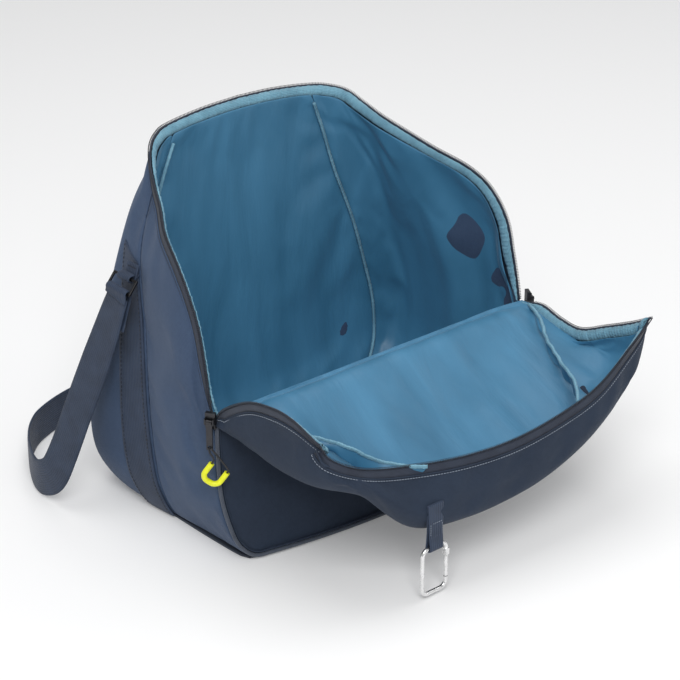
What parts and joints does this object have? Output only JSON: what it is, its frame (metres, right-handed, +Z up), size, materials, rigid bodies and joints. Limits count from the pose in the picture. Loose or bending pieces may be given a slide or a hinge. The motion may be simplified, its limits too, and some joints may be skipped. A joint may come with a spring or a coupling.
{
  "type": "ski boot bag",
  "caption": "Open soft bag for ski boots and a helmet, with a hooded front flap on a two-way zip, a side-mounted shoulder strap on metal rings, cord zip pulls and a snap hook.",
  "frame": {"origin": "on the floor, at the middle of the base's flat underside", "axes": "+X to the bag's right as seen from its front, -Y towards the front and the open flap, +Z up"},
  "size_m": [0.5354, 0.5425, 0.3633],
  "materials": {
    "front_fabric": "matt woven polyester, dark navy",
    "side_fabric": "matt woven polyester, slate navy",
    "base_sheet": "coated woven fabric",
    "stiff_board": "plain",
    "lining_satin": "satin, steel blue",
    "binding_tape": "gathered binding, light steel blue",
    "zip_tape": "woven tape, near black navy",
    "zip_coil": "nylon coil",
    "piping": "covered cord",
    "webbing": "ribbed webbing",
    "ring_metal": "dark coated wire",
    "zip_metal": "gunmetal",
    "hook_metal": "satin",
    "grip_rubber": "bright yellow",
    "pull_cord": "thin black cord"
  },
  "bodies": {
    "bag": {"base_panel": "base_sheet", "base_board": "stiff_board", "lining_base": "lining_satin", "front_panel": "front_fabric", "side_front_left": "side_fabric", "side_front_right": "side_fabric", "side_rear_left": "side_fabric", "side_rear_right": "side_fabric", "back_panel": "side_fabric", "lining_left": "lining_satin", "lining_right": "lining_satin", "lining_back": "lining_satin", "lining_front": "lining_satin", "body_zip_tape": "zip_tape", "body_zip_coil": "zip_coil", "body_binding": "binding_tape", "front_piping": "piping", "side_webbing_left": "webbing", "side_webbing_right": "webbing", "inner_seam_left": "binding_tape", "inner_seam_right": "binding_tape", "fold_panel": "front_fabric", "fold_lining": "lining_satin", "fold_side_left": "side_fabric", "fold_side_right": "side_fabric", "strap_anchor_left": "webbing", "strap_anchor_right": "webbing"},
    "flap": {"flap_panel": "front_fabric", "flap_lining": "lining_satin", "flap_side_left": "side_fabric", "flap_side_right": "side_fabric", "flap_zip_tape": "zip_tape", "flap_zip_coil": "zip_coil", "flap_binding": "binding_tape", "hook_tab": "webbing"},
    "hook": {"hook_frame": "hook_metal", "hook_pin": "hook_metal"},
    "hook_gate": {"hook_gate": "hook_metal"},
    "slider_left": {"slider_left": "zip_metal"},
    "slider_right": {"slider_right": "zip_metal"},
    "puller_left": {"puller_left": "zip_metal", "pull_cord_left": "pull_cord", "pull_grip_left": "grip_rubber"},
    "puller_right": {"puller_right": "zip_metal", "pull_cord_right": "pull_cord", "pull_grip_right": "grip_rubber"},
    "strap": {"shoulder_strap": "webbing", "strap_end_left": "webbing", "strap_end_right": "webbing", "ring_left": "ring_metal", "ring_right": "ring_metal", "strap_loop_left": "webbing", "strap_loop_right": "webbing"}
  },
  "joints": [
    {"name": "flap_swing", "type": "hinge", "parent": "bag", "child": "flap", "pos_m": [0, -0.0406, 0.1616], "axis": [-1, 0, 0], "range_deg": [0, 128]},
    {"name": "hook_swing", "type": "hinge", "parent": "flap", "child": "hook", "pos_m": [-0.097, -0.285, 0.053], "axis": [1, 0, 0], "range_deg": [-90, 60]},
    {"name": "hook_gate_turn", "type": "hinge", "parent": "hook", "child": "hook_gate", "pos_m": [-0.082, -0.285, 0.0415], "axis": [0, 1, 0], "range_deg": [0, 25], "stiffness_Nm_per_rad": 0.03, "springref_deg": -11.46},
    {"name": "slider_left_run", "type": "slide", "parent": "bag", "child": "slider_left", "axis": [0, 0.2315, 0.9728], "range_m": [0, 0.085]},
    {"name": "slider_right_run", "type": "slide", "parent": "bag", "child": "slider_right", "axis": [0, 0.2315, 0.9728], "range_m": [0, 0.085]},
    {"name": "puller_left_turn", "type": "hinge", "parent": "slider_left", "child": "puller_left", "pos_m": [-0.21322, -0.1029, 0.15], "axis": [-0.5, 0.866, 0], "range_deg": [0, 150]},
    {"name": "puller_right_turn", "type": "hinge", "parent": "slider_right", "child": "puller_right", "pos_m": [0.21322, -0.1029, 0.15], "axis": [-0.5, -0.866, 0], "range_deg": [0, 150]},
    {"name": "strap_swing", "type": "hinge", "parent": "bag", "child": "strap", "pos_m": [0, 0.047, 0.2415], "axis": [1, 0, 0], "range_deg": [0, 125]}
  ]
}
